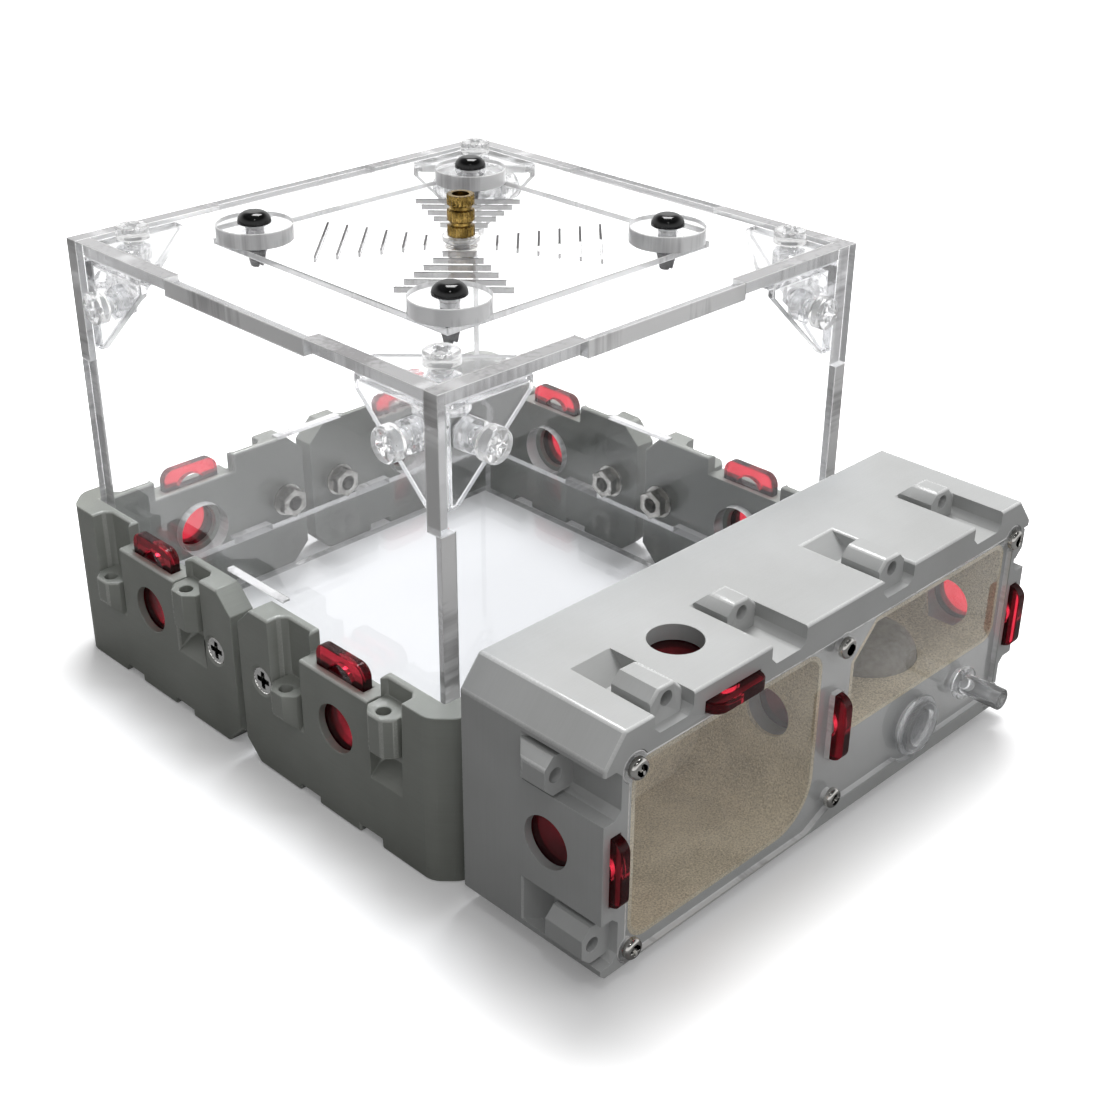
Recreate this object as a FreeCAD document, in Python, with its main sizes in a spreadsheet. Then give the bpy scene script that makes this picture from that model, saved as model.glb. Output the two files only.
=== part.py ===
"""Ant habitat: a clear foraging box with docking ports, and a sealed nest that stands in front of it.

Millimetres, +Z up, origin at the middle of the footprint on the table.
The box pieces are drawn about the box's own centre line and then moved back by BOX_Y.
The nest pieces are drawn from the nest's lower front left corner, where x runs along the nest,
y runs back from its front and z runs up, and are then moved by NEST_X and NEST_Y.
"""
import FreeCAD, Part
import math
import os
import re
import Sketcher

V = FreeCAD.Vector

DIMENSIONS = {
    # clear box, laser cut from one thickness of sheet and joined with fingers
    "box_side": 100,
    "box_height": 84,
    "sheet": 3,
    "finger_low": 23.4,
    "finger_high": 61,
    "lid_tab_wide": 38,
    "floor_top": 14,
    "floor_tab_wide": 9.5,
    "floor_tab_at": 16,
    "vent_wide": 16.5,
    "vent_high": 0.9,
    "vent_level": 32.8,
    # lift-off lid panel
    "panel_side": 62.4,
    "panel_play": 0.2,
    "slit_wide": 0.6,
    "slit_first": 6.4,
    "slit_pitch": 3.72,
    "slit_short": 6,
    "slit_grow": 2.8,
    "disc_at": 26,
    "disc_round": 14,
    "rivet_round": 3.1,
    "rivet_head": 6.1,
    "rivet_high": 2.1,
    "rivet_below": 4,
    "rivet_barb": 0.35,
    "rivet_split": 0.7,
    "knob_round": 5,
    "knob_high": 7.5,
    "knob_notch": 0.45,
    "knob_teeth": 18,
    "tooth_wide": 0.68,
    "tooth_deep": 0.24,
    "knob_washer_round": 7,
    "knob_washer_thick": 1,
    # corner brackets under the lid
    "bracket_leg": 26.4,
    "bracket_tip": 5.4,
    "bracket_foot": 2.4,
    "bracket_thick": 1.6,
    "bracket_screw_in": 9.9,
    "bracket_screw_down": 10.4,
    "lid_screw_in": 8.5,
    # M3 fasteners
    "screw_round": 3,
    "screw_play": 0.1,
    "thread_gap": 0.05,
    "pan_round": 6,
    "pan_high": 2.4,
    "flat_head_round": 5.5,
    "flat_head_sunk": 0.25,
    "cross_wide": 0.8,
    "cross_long": 3.2,
    "cross_deep": 1.2,
    "nut_flats": 5.5,
    "nut_high": 2.4,
    "screw_past": 0.6,
    "tip_cut": 0.4,
    "washer_round": 7,
    "washer_thick": 0.5,
    # corner modules that carry the ports
    "module_thick": 5,
    "module_high": 31.8,
    "module_gap": 2,
    "module_corner_cut": 3.8,
    "module_end_cut": 4,
    "module_screw_at": 7,
    "foot_wide": 5.5,
    "foot_high": 1.5,
    "foot_at": 8.3,
    "ledge_high": 28,
    "ledge_wide": 18.5,
    # one docking standard for every port: heights are measured from the resting plane
    "port_round": 9,
    "port_at": 27.5,
    "port_high": 18.4,
    "wall_port_round": 11,
    "lug_at": 13.2,
    "lug_bay_wide": 8.4,
    "lug_bay_deep": 3.6,
    "lug_bay_cut": 1.2,
    "lug_wide": 6.8,
    "lug_reach": 2.2,
    "lug_nose_cut": 1.7,
    "lug_low": 13.2,
    "lug_split": 20.5,
    "lug_play": 0.3,
    "lug_top": 28.3,
    "pin_round": 2.5,
    # sliding gates
    "gate_wide": 12.5,
    "gate_thick": 2,
    "gate_play": 0.1,
    "gate_skin": 1.5,
    "gate_below": 6.3,
    "gate_rise": 13.8,
    "gate_curve": 2.4,
    "grip_wide": 6,
    "grip_high": 2,
    # nest
    "nest_deep": 30,
    "nest_high": 46,
    "nest_gap": 4,
    "top_cut_in": 4,
    "top_cut_down": 5,
    "foot_cut_in": 4.5,
    "foot_cut_up": 4.1,
    "front_cut_in": 2.5,
    "front_cut_up": 3.2,
    "side_port_level": 22.5,
    "top_gate_down": 4,
    # chambers
    "chamber_deep": 26,
    "chamber_top": 38.5,
    "left_from": 7,
    "divider_off": 0.5,
    "divider_thick": 8,
    "left_floor": 5.4,
    "left_curve": 4,
    "left_big_curve": 9,
    "right_wall": 6,
    "right_floor": 18.7,
    "right_curve": 3,
    "right_slope": 6,
    "liner": 0.8,
    # window cover
    "cover_thick": 2,
    "cover_play": 0.1,
    "cover_left": 5.2,
    "cover_right_in": 4.8,
    "cover_top": 40,
    "cover_low": 3.4,
    "cover_step": 6.2,
    "cover_step_before": 1.5,
    "cover_step_after": 4.5,
    "ear_round": 5.2,
    "ear_at_left": 6.4,
    "ear_at_right": 5.2,
    "ear_top": 38.9,
    "ear_middle_top": 37.7,
    "ear_low": 6,
    "ear_middle_low": 8.4,
    "small_screw_round": 2,
    "small_head_round": 3.6,
    "small_head_high": 1.3,
    "small_screw_long": 8,
    "small_cross_wide": 0.5,
    "small_cross_long": 2,
    "small_cross_deep": 0.7,
    # water store below the right chamber
    "store_in_left": 1.5,
    "store_in_right": 3,
    "store_low": 4.2,
    "store_top": 16.4,
    "store_wall": 5,
    "plug_share": 0.456,
    "plug_level": 11.4,
    "plug_round": 8.5,
    "plug_play": 0.08,
    "plug_long": 6,
    "plug_rim_round": 9.8,
    "plug_rim_thick": 1,
    "plug_dish_round": 6.8,
    "plug_dish_deep": 1.6,
    "seal_round": 11.5,
    "seal_thick": 0.6,
    "plug_boss_round": 14.4,
    "tube_share": 0.764,
    "tube_level": 14.2,
    "tube_round": 4,
    "tube_bore": 2.6,
    "tube_out": 8.5,
    "collar_round": 6.2,
    "collar_long": 1.2,
    "wick_share": 0.517,
    "wick_back": 15,
    "wick_round": 19,
    "wick_high": 5,
    "wick_curve": 4.6,
    "stem_round": 10,
    "stem_dip": 1,
}

# sizes that follow from them: the nest is as long as the box with its modules, and its ports keep their pitch
DERIVED = {
    "nest_long": "box_side+2*module_thick",
    "top_port_at": "nest_long/2-port_at",
    "top_lugs_again": "nest_long/2+port_at",
    "left_to": "nest_long/2+divider_off-divider_thick/2",
    "right_from": "nest_long/2+divider_off+divider_thick/2",
    "right_to": "nest_long-right_wall",
    "divider_at": "nest_long/2+divider_off",
    "cover_right": "nest_long-cover_right_in",
    "cover_step_from": "left_to-cover_step_before",
    "cover_step_to": "left_to+cover_step_after",
    "store_from": "right_from+store_in_left",
    "store_to": "right_to-store_in_right",
    "plug_at": "right_from+(right_to-right_from)*plug_share",
    "tube_at": "right_from+(right_to-right_from)*tube_share",
    "wick_at": "right_from+(right_to-right_from)*wick_share",
}

# places worked out from the driving dimensions
BOX = "(box_side/2)"
INNER = "(box_side/2-sheet)"
SHEET_TOP = "(box_height-sheet)"
RING = "(box_side/2+module_thick)"
SEAM = "(module_gap/2)"
BRACKET_FACE = "(box_side/2-sheet-bracket_thick)"
BOX_Y = "((nest_gap+nest_deep+tube_out-lug_reach)/2)"
NEST_X = "(-nest_long/2)"
NEST_Y = "(%s-%s-nest_gap-nest_deep)" % (BOX_Y, RING)
NEST_PORT = "(nest_deep-port_high)"
GATE_MIDDLE = "(gate_skin+gate_play+gate_thick/2)"
LEFT_GATE = GATE_MIDDLE
MIDDLE_GATE = "divider_at"
RIGHT_GATE = "(nest_long-%s)" % GATE_MIDDLE
TOP_GATE = "(nest_high-top_gate_down)"

os.makedirs("parts", exist_ok=True)
doc = FreeCAD.newDocument("AntHabitat")
sheet = doc.addObject("Spreadsheet::Sheet", "Dimensions")
CELLS = {**DIMENSIONS, **{alias: "=" + text for alias, text in DERIVED.items()}}
for row, (alias, value) in enumerate(CELLS.items(), 1):
    sheet.set("A%d" % row, alias)
    sheet.set("B%d" % row, str(value))
    sheet.setAlias("B%d" % row, alias)
doc.recompute()

nodes = []


# ---------------------------------------------------------------- sheet and sketch helpers
def formula(text):
    """Point each dimension named in the text at its cell."""
    return re.sub(r"[a-z][a-z_]*", lambda m: "Dimensions." * (m.group() in CELLS) + m.group(), text)


def bind(item, prop, text):
    item.setExpression(prop, formula(text))


def number(text):
    result = sheet.evalExpression(formula(text))
    return float(getattr(result, "Value", result))


def node(item, name):
    """A finished sub-part: its label is its node name."""
    item.Label = name
    nodes.append(item)
    return item


def place(item, x, y, z, rotation=FreeCAD.Rotation()):
    item.Placement = FreeCAD.Placement(V(0, 0, 0), rotation)
    for axis, text in zip("xyz", (x, y, z)):
        bind(item, "Placement.Base." + axis, text)


def quarter(turn):
    return FreeCAD.Rotation(V(0, 0, 1), 90 * turn)


def turned(turn, x, y):
    """The point x, y after some quarter turns about the box's centre line."""
    return [(x, y), ("-(%s)" % y, x), ("-(%s)" % x, "-(%s)" % y), (y, "-(%s)" % x)][turn]


def plane_of(body, role):
    return [item for item in body.Origin.OriginFeatures if item.Role == role + "_Plane"][0]


def sketch(body, plane, level):
    """A sketch on a plane of the body's origin, moved to a level along the global axis."""
    drawing = body.newObject("Sketcher::SketchObject", "Sketch")
    drawing.AttachmentSupport = (plane_of(body, plane), "")
    drawing.MapMode = "FlatFace"
    bind(drawing, "AttachmentOffset.Base.z", ("-(%s)" if plane == "XZ" else "%s") % level)
    return drawing


def pin(drawing, kind, *where):
    """A driving constraint: where ends with the text that sets its value."""
    text = where[-1]
    index = drawing.addConstraint(Sketcher.Constraint(kind, *where[:-1], number(text)))
    bind(drawing, "Constraints[%d]" % index, text)


def polygon(drawing, points):
    corners = [V(number(x), number(y), 0) for x, y in points]
    first = len(drawing.Geometry)
    count = len(corners)
    for i in range(count):
        drawing.addGeometry(Part.LineSegment(corners[i], corners[(i + 1) % count]))
    for i in range(count):
        drawing.addConstraint(Sketcher.Constraint("Coincident", first + i, 2, first + (i + 1) % count, 1))
    for i, (x, y) in enumerate(points):
        pin(drawing, "DistanceX", first + i, 1, x)
        pin(drawing, "DistanceY", first + i, 1, y)


def circle(drawing, x, y, radius):
    line = drawing.addGeometry(Part.Circle(V(number(x), number(y), 0), V(0, 0, 1), number(radius)))
    pin(drawing, "DistanceX", line, 3, x)
    pin(drawing, "DistanceY", line, 3, y)
    pin(drawing, "Radius", line, radius)


def rect(x, y, wide, high):
    """Corners of a rectangle about its middle."""
    left, right = "(%s)-(%s)/2" % (x, wide), "(%s)+(%s)/2" % (x, wide)
    low, top = "(%s)-(%s)/2" % (y, high), "(%s)+(%s)/2" % (y, high)
    return [(left, low), (right, low), (right, top), (left, top)]


def span(left, low, right, top):
    """Corners of a rectangle from its edges."""
    return [(left, low), (right, low), (right, top), (left, top)]


# ---------------------------------------------------------------- feature helpers
def new_body(name):
    return doc.addObject("PartDesign::Body", name)


def extrude(kind, body, plane, level, length, outlines=(), circles=()):
    """Pad or pocket some outlines and circles from a level toward the plane's global axis."""
    drawing = sketch(body, plane, level)
    for points in outlines:
        polygon(drawing, points)
    for x, y, radius in circles:
        circle(drawing, x, y, radius)
    item = body.newObject("PartDesign::" + kind, kind)
    item.Profile = drawing
    bind(item, "Length", length)
    item.Reversed = (plane == "XZ") if kind == "Pad" else (plane != "XZ")
    return item


def pad(body, plane, level, length, outlines=(), circles=()):
    return extrude("Pad", body, plane, level, length, outlines, circles)


def pocket(body, plane, level, length, outlines=(), circles=()):
    return extrude("Pocket", body, plane, level, length, outlines, circles)


def revolve(body, points):
    """Turn a half outline (radius, height) about the body's Z axis."""
    drawing = sketch(body, "XZ", "0")
    polygon(drawing, points)
    item = body.newObject("PartDesign::Revolution", "Revolution")
    item.Profile = drawing
    item.ReferenceAxis = (drawing, ["V_Axis"])
    item.Angle = 360
    return item


def around(body, item, count):
    """Repeat a feature about the body's Z axis."""
    pattern = body.newObject("PartDesign::PolarPattern", "PolarPattern")
    pattern.Originals = [item]
    pattern.Axis = ([axis for axis in body.Origin.OriginFeatures if axis.Role == "Z_Axis"][0], [""])
    pattern.Angle = 360
    bind(pattern, "Occurrences", count)
    body.Tip = pattern
    return pattern


def straight_edges(body, axis, spots):
    """Straight edges along an axis (0, 1 or 2) whose other two coordinates match one of the spots."""
    doc.recompute()
    others = [k for k in range(3) if k != axis]
    found = []
    for index, edge in enumerate(body.Shape.Edges, 1):
        if edge.Curve.TypeId != "Part::GeomLine" or abs(edge.Curve.Direction[axis]) < 0.999:
            continue
        middle = edge.BoundBox.Center
        for spot in spots:
            if all(abs(middle[k] - number(text)) < 0.01 for k, text in zip(others, spot)):
                found.append("Edge%d" % index)
    return found


def rims(body, axis, level, radius):
    """Circular edges of one radius that lie square to an axis at a level."""
    doc.recompute()
    found = []
    for index, edge in enumerate(body.Shape.Edges, 1):
        if edge.Curve.TypeId != "Part::GeomCircle" or abs(edge.Curve.Radius - number(radius)) > 0.001:
            continue
        if abs(edge.Curve.Axis[axis]) > 0.999 and abs(edge.Curve.Center[axis] - number(level)) < 0.001:
            found.append("Edge%d" % index)
    return found


def dress(kind, body, edges, value):
    """Round or chamfer the named edges of the body as it stands."""
    base = body.Tip
    item = body.newObject("PartDesign::" + kind, kind)
    item.Base = (base, edges)
    bind(item, "Radius" if kind == "Fillet" else "Size", value)
    return item


def group(name, master, places):
    """One node of equal, separate pieces, each a link to the master piece."""
    links = []
    for x, y, z, rotation in places:
        link = doc.addObject("App::Link", name + "_copy")
        link.LinkedObject = master
        place(link, x, y, z, rotation)
        links.append(link)
    compound = doc.addObject("Part::Compound", name)
    compound.Links = links
    return node(compound, name)


# ---------------------------------------------------------------- clear box
def wall(name, plane, turn, lower_half, middle_half):
    """A wall whose ends hold the corner either in the middle third or in the outer two thirds."""
    body = new_body(name)
    tab = "(lid_tab_wide/2)"
    right = [(lower_half, "0"), (lower_half, "finger_low"), (middle_half, "finger_low"),
             (middle_half, "finger_high"), (lower_half, "finger_high"), (lower_half, "box_height"),
             (tab, "box_height"), (tab, SHEET_TOP)]
    left = [("-" + x, y) for x, y in reversed(right)]
    pad(body, plane, "-" + BOX, "sheet", [right + left])
    slots = [rect(s + "floor_tab_at", "floor_top-sheet/2", "floor_tab_wide", "sheet") for s in ("", "-")]
    vent = rect("0", "vent_level", "vent_wide", "vent_high")
    holes = []
    for side in ("", "-"):
        holes.append((side + "port_at", "port_high", "wall_port_round/2"))
        holes.append((side + "module_screw_at", "port_high", "screw_round/2+screw_play"))
        holes.append((side + "(%s-bracket_screw_in+sheet)" % INNER, "box_height-bracket_screw_down",
                      "screw_round/2+screw_play"))
    pocket(body, plane, "-" + BOX, "sheet", slots + [vent], holes)
    place(body, "0", BOX_Y, "0", quarter(turn))
    node(body, name)


def floor_plate():
    """The raised floor: its eight tabs pass through the walls and end flush outside."""
    body = new_body("floor_plate")
    low = "floor_top-sheet"
    pad(body, "XY", low, "sheet", [rect("0", "0", INNER + "*2", INNER + "*2")])
    across = [rect("0", s + "floor_tab_at", "box_side", "floor_tab_wide") for s in ("", "-")]
    along = [rect(s + "floor_tab_at", "0", "floor_tab_wide", "box_side") for s in ("", "-")]
    pad(body, "XY", low, "sheet", across)
    pad(body, "XY", low, "sheet", along)
    place(body, "0", BOX_Y, "0")
    node(body, "floor_plate")


def lid_frame():
    """The fixed rim of the lid, let into the walls by one tab on each side."""
    body = new_body("lid_frame")
    pad(body, "XY", SHEET_TOP, "sheet", [rect("0", "0", INNER + "*2", INNER + "*2")])
    pad(body, "XY", SHEET_TOP, "sheet", [rect("0", "0", "lid_tab_wide", "box_side")])
    pad(body, "XY", SHEET_TOP, "sheet", [rect("0", "0", "box_side", "lid_tab_wide")])
    opening = "panel_side+panel_play*2"
    spot = "(%s-lid_screw_in+sheet)" % INNER
    holes = [(a + spot, b + spot, "screw_round/2+screw_play") for a in ("", "-") for b in ("", "-")]
    pocket(body, "XY", SHEET_TOP, "sheet", [rect("0", "0", opening, opening)], holes)
    place(body, "0", BOX_Y, "0")
    node(body, "lid_frame")


def corner_bracket(name, turn):
    """Three thin triangles with cut tips that tie two walls and the lid frame together."""
    body = new_body(name)
    corner = "-" + INNER
    reach = "-(%s-bracket_leg+bracket_tip)" % INNER
    shoulder = "-(%s-bracket_tip)" % INNER
    foot = "-(%s-bracket_foot)" % INNER
    top = SHEET_TOP
    low = top + "-bracket_leg+bracket_foot"
    flat = [(corner, corner), (reach, corner), (reach, shoulder), (shoulder, reach), (corner, reach)]
    upright = [(corner, top), (reach, top), (reach, top + "-bracket_tip"), (foot, low), (corner, low)]
    pad(body, "XY", top + "-bracket_thick", "bracket_thick", [flat])
    pad(body, "XZ", corner, "bracket_thick", [upright])
    pad(body, "YZ", corner, "bracket_thick", [upright])
    hole = "screw_round/2+screw_play"
    spot = "-(%s-lid_screw_in+sheet)" % INNER
    pocket(body, "XY", top + "-bracket_thick", "bracket_thick", circles=[(spot, spot, hole)])
    spot = ("-(%s-bracket_screw_in+sheet)" % INNER, "box_height-bracket_screw_down", hole)
    pocket(body, "XZ", corner, "bracket_thick", circles=[spot])
    pocket(body, "YZ", corner, "bracket_thick", circles=[spot])
    place(body, "0", BOX_Y, "0", quarter(turn))
    node(body, name)


# ---------------------------------------------------------------- lift-off lid panel
def lid_panel():
    """The panel fills the opening; six air slits cross each of its diagonals."""
    body = new_body("lid_panel")
    pad(body, "XY", SHEET_TOP, "sheet", [rect("0", "0", "panel_side", "panel_side")])
    holes = [("0", "0", "screw_round/2+screw_play")]
    for a in ("", "-"):
        for b in ("", "-"):
            holes.append((a + "disc_at", b + "disc_at", "rivet_round/2+thread_gap"))
    pocket(body, "XY", SHEET_TOP, "sheet", circles=holes)
    slits = []
    for k in range(6):
        near = "(slit_first+slit_pitch*%d-slit_wide/2)" % k
        far = "(slit_first+slit_pitch*%d+slit_wide/2)" % k
        half = "(slit_short/2+slit_grow*%d/2)" % k
        ends = [(near, half), (far, half), (far, "-" + half), (near, "-" + half)]
        slits.append([("(%s-%s)*sqrt(0.5)" % (a, b), "(%s+%s)*sqrt(0.5)" % (a, b)) for a, b in ends])
    around(body, pocket(body, "XY", SHEET_TOP, "sheet", slits), "4")
    place(body, "0", BOX_Y, "0")
    node(body, "lid_panel")


def lid_disc(name, turn):
    """A disc riveted on a corner of the panel: it overhangs the opening and carries the panel."""
    body = new_body(name)
    pad(body, "XY", "box_height", "sheet", circles=[("-disc_at", "-disc_at", "disc_round/2")])
    pocket(body, "XY", "box_height", "sheet", circles=[("-disc_at", "-disc_at", "rivet_round/2+thread_gap")])
    place(body, "0", BOX_Y, "0", quarter(turn))
    node(body, name)


def lid_rivets():
    """Push rivets: a domed head, and a split shank that spreads below the panel."""
    body = new_body("rivet")
    reach = "(sheet*2+rivet_below)"
    under = "-sheet*2"
    revolve(body, [("0", "rivet_high"), ("rivet_head/2", "rivet_high"), ("rivet_head/2", "0"),
                   ("rivet_round/2", "0"), ("rivet_round/2", under),
                   ("rivet_round/2+rivet_barb", under + "-rivet_barb*3"),
                   ("rivet_round/2-rivet_barb", "-" + reach), ("0", "-" + reach)])
    dress("Fillet", body, rims(body, 2, "rivet_high", "rivet_head/2"), "rivet_high*0.9")
    pocket(body, "XY", "-" + reach, "rivet_below+sheet", [rect("0", "0", "rivet_split", "rivet_head")])
    spots = [turned(k, "-disc_at", "-disc_at") for k in range(4)]
    group("lid_rivets", body, [(x, "%s+%s" % (BOX_Y, y), "box_height+sheet", quarter(0)) for x, y in spots])


def lift_knob():
    """A threaded brass insert with three knurled bands, used as the lid's grip."""
    body = new_body("lift_knob")
    band = "knob_high*0.24"
    neck = "(knob_round/2-knob_notch)"
    rim = "(knob_round/2)"
    bore = "(screw_round/2+thread_gap)"
    outline = [(bore, "0")]
    for k in range(3):
        low = "knob_high*0.38*%d" % k
        outline += [(rim, low), (rim, low + "+" + band)]
        if k < 2:
            outline.append((neck, low + "+" + band + "+knob_notch/2"))
            outline.append((neck, low + "+knob_high*0.38-knob_notch/2"))
    outline.append((bore, "knob_high"))
    revolve(body, outline)
    root = rim + "-tooth_deep"
    tooth = [(rim + "+tooth_deep", "-tooth_wide"), (rim + "+tooth_deep", "tooth_wide"), (root, "0")]
    around(body, pocket(body, "XY", "0", "knob_high", [tooth]), "knob_teeth")
    place(body, "0", BOX_Y, "box_height+knob_washer_thick")
    node(body, "lift_knob")


def flat_ring(name, outer, bore, thick):
    """A plain washer about Z, standing on its own origin."""
    body = new_body(name)
    pad(body, "XY", "0", thick, circles=[("0", "0", outer), ("0", "0", bore)])
    return body


def knob_washer():
    body = flat_ring("knob_washer", "knob_washer_round/2", "screw_round/2+screw_play", "knob_washer_thick")
    place(body, "0", BOX_Y, "box_height")
    node(body, "knob_washer")


# ---------------------------------------------------------------- fasteners
def cross_recess(body, level, wide, long, deep):
    pocket(body, "XY", level, deep, [rect("0", "0", wide, long)])
    pocket(body, "XY", level, deep, [rect("0", "0", long, wide)])


def pan_screw(name, radius, length, head, high):
    """A pan head screw that points up from its seat at the origin."""
    body = new_body(name)
    tip = "(%s)" % length
    revolve(body, [("0", "-(%s)" % high), (head, "-(%s)" % high), (head, "0"), (radius, "0"),
                   (radius, tip + "-tip_cut"), (radius + "-tip_cut", tip), ("0", tip)])
    dress("Fillet", body, rims(body, 2, "-(%s)" % high, head), high + "*0.55")
    return body


def flat_screw(name, length):
    """A countersunk M3 screw: the flat of its head lies in the origin plane."""
    body = new_body(name)
    cone = "(flat_head_round/2-screw_round/2)"
    revolve(body, [("0", "0"), ("flat_head_round/2", "0"), ("screw_round/2", cone),
                   ("screw_round/2", length + "-tip_cut"), ("screw_round/2-tip_cut", length), ("0", length)])
    cross_recess(body, "0", "cross_wide", "cross_long", "cross_deep")
    return body


def hex_nut(name):
    """An M3 nut on its own origin, with a corner toward Y."""
    body = new_body(name)
    corner = "(nut_flats/sqrt(3))"
    half = "(nut_flats/2)"
    outline = [(half, corner + "/2"), ("0", corner), ("-" + half, corner + "/2"),
               ("-" + half, "-%s/2" % corner), ("0", "-" + corner), (half, "-%s/2" % corner)]
    pad(body, "XY", "0", "nut_high", [outline])
    pocket(body, "XY", "0", "nut_high", circles=[("0", "0", "screw_round/2+thread_gap")])
    return body


INWARD = FreeCAD.Rotation(V(1, 0, 0), -90)
DOWNWARD = FreeCAD.Rotation(V(1, 0, 0), 180)


def on_sides(offset, depth, level):
    """Places at plus and minus the offset on all four sides, at a distance from the centre line."""
    places = []
    for turn in range(4):
        for side in ("", "-"):
            x, y = turned(turn, side + offset, "-" + depth)
            places.append((x, "%s+%s" % (BOX_Y, y), level, quarter(turn).multiply(INWARD)))
    return places


def on_lid(level):
    """Places over the four lid screw holes, pointing down."""
    spot = "(%s-lid_screw_in+sheet)" % INNER
    spots = [turned(turn, "-" + spot, "-" + spot) for turn in range(4)]
    return [(x, "%s+%s" % (BOX_Y, y), level, DOWNWARD) for x, y in spots]


def bracket_fasteners():
    """Twelve nylon screws outside and their nuts inside: eight in the walls and four in the lid."""
    length = "(sheet+bracket_thick+nut_high+screw_past)"
    screw = pan_screw("bracket_screw", "screw_round/2", length, "pan_round/2", "pan_high")
    cross_recess(screw, "-pan_high", "cross_wide", "cross_long", "cross_deep")
    nut = hex_nut("bracket_nut")
    offset = "(%s-bracket_screw_in+sheet)" % INNER
    level = "box_height-bracket_screw_down"
    group("bracket_screws", screw, on_sides(offset, BOX, level) + on_lid("box_height"))
    group("bracket_nuts", nut, on_sides(offset, BRACKET_FACE, level) + on_lid(SHEET_TOP + "-bracket_thick"))


def module_fasteners():
    """Eight sunk steel screws that hold the corner modules, each with a washer and a nut inside."""
    length = "(module_thick+sheet+washer_thick+nut_high+screw_past-flat_head_sunk)"
    screw = flat_screw("module_screw", length)
    washer = flat_ring("module_washer", "washer_round/2", "screw_round/2+screw_play", "washer_thick")
    nut = hex_nut("module_nut")
    group("module_screws", screw, on_sides("module_screw_at", "(%s-flat_head_sunk)" % RING, "port_high"))
    group("module_washers", washer, on_sides("module_screw_at", INNER, "port_high"))
    group("module_nuts", nut, on_sides("module_screw_at", "(%s-washer_thick)" % INNER, "port_high"))


def knob_screw():
    """The screw that holds the knob from below the panel."""
    reach = "sheet+knob_washer_thick+knob_high*0.8"
    body = pan_screw("knob_screw", "screw_round/2", reach, "pan_round/2", "pan_high")
    cross_recess(body, "-pan_high", "cross_wide", "cross_long", "cross_deep")
    place(body, "0", BOX_Y, SHEET_TOP)
    node(body, "knob_screw")


# ---------------------------------------------------------------- docking lugs
def bay_outline(middle, face):
    """The recess for one lug, as (along, outward) points about the face."""
    half = "(lug_bay_wide/2)"
    back = face + "-lug_bay_deep"
    return [(middle + "-" + half, face), (middle + "-" + half, back + "+lug_bay_cut"),
            (middle + "-" + half + "+lug_bay_cut", back), (middle + "+" + half + "-lug_bay_cut", back),
            (middle + "+" + half, back + "+lug_bay_cut"), (middle + "+" + half, face)]


def lug_outline(middle, face):
    """The lug stands on the recess's back and reaches past the face with two cut corners."""
    half = "(lug_wide/2)"
    back = face + "-lug_bay_deep"
    nose = face + "+lug_reach"
    return [(middle + "-" + half, back), (middle + "-" + half, nose + "-lug_nose_cut"),
            (middle + "-" + half + "+lug_nose_cut", nose), (middle + "+" + half + "-lug_nose_cut", nose),
            (middle + "+" + half, nose + "-lug_nose_cut"), (middle + "+" + half, back)]


def lugs(body, plane, height, upper, lower):
    """Cut the recesses, stand an upper and a lower lug in them and drill the pin holes.

    height turns a height of the docking standard into the start of a run along the plane's axis.
    upper and lower are lists of (middle, face, mapping) for the two kinds of lug.
    """
    bays = [[mapping(s, d) for s, d in bay_outline(middle, face)] for middle, face, mapping in upper + lower]
    pocket(body, plane, *height("lug_low", None), bays)
    high = [[mapping(s, d) for s, d in lug_outline(middle, face)] for middle, face, mapping in upper]
    pad(body, plane, *height("(lug_split+lug_play/2)", "lug_top"), high)
    low = [[mapping(s, d) for s, d in lug_outline(middle, face)] for middle, face, mapping in lower]
    pad(body, plane, *height("lug_low", "(lug_split-lug_play/2)"), low)
    pins = [mapping(middle, face) + ("pin_round/2",) for middle, face, mapping in upper + lower]
    pocket(body, plane, *height("lug_low", None), circles=pins)


# ---------------------------------------------------------------- corner modules
def gate_slot(at, level, wide, high):
    return rect(at, level, wide + "+gate_play*2", high + "+gate_play*2")


def front_arm(s, d):
    return (s, "-(%s)" % d)


def left_arm(s, d):
    return ("-(%s)" % d, s)


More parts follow.
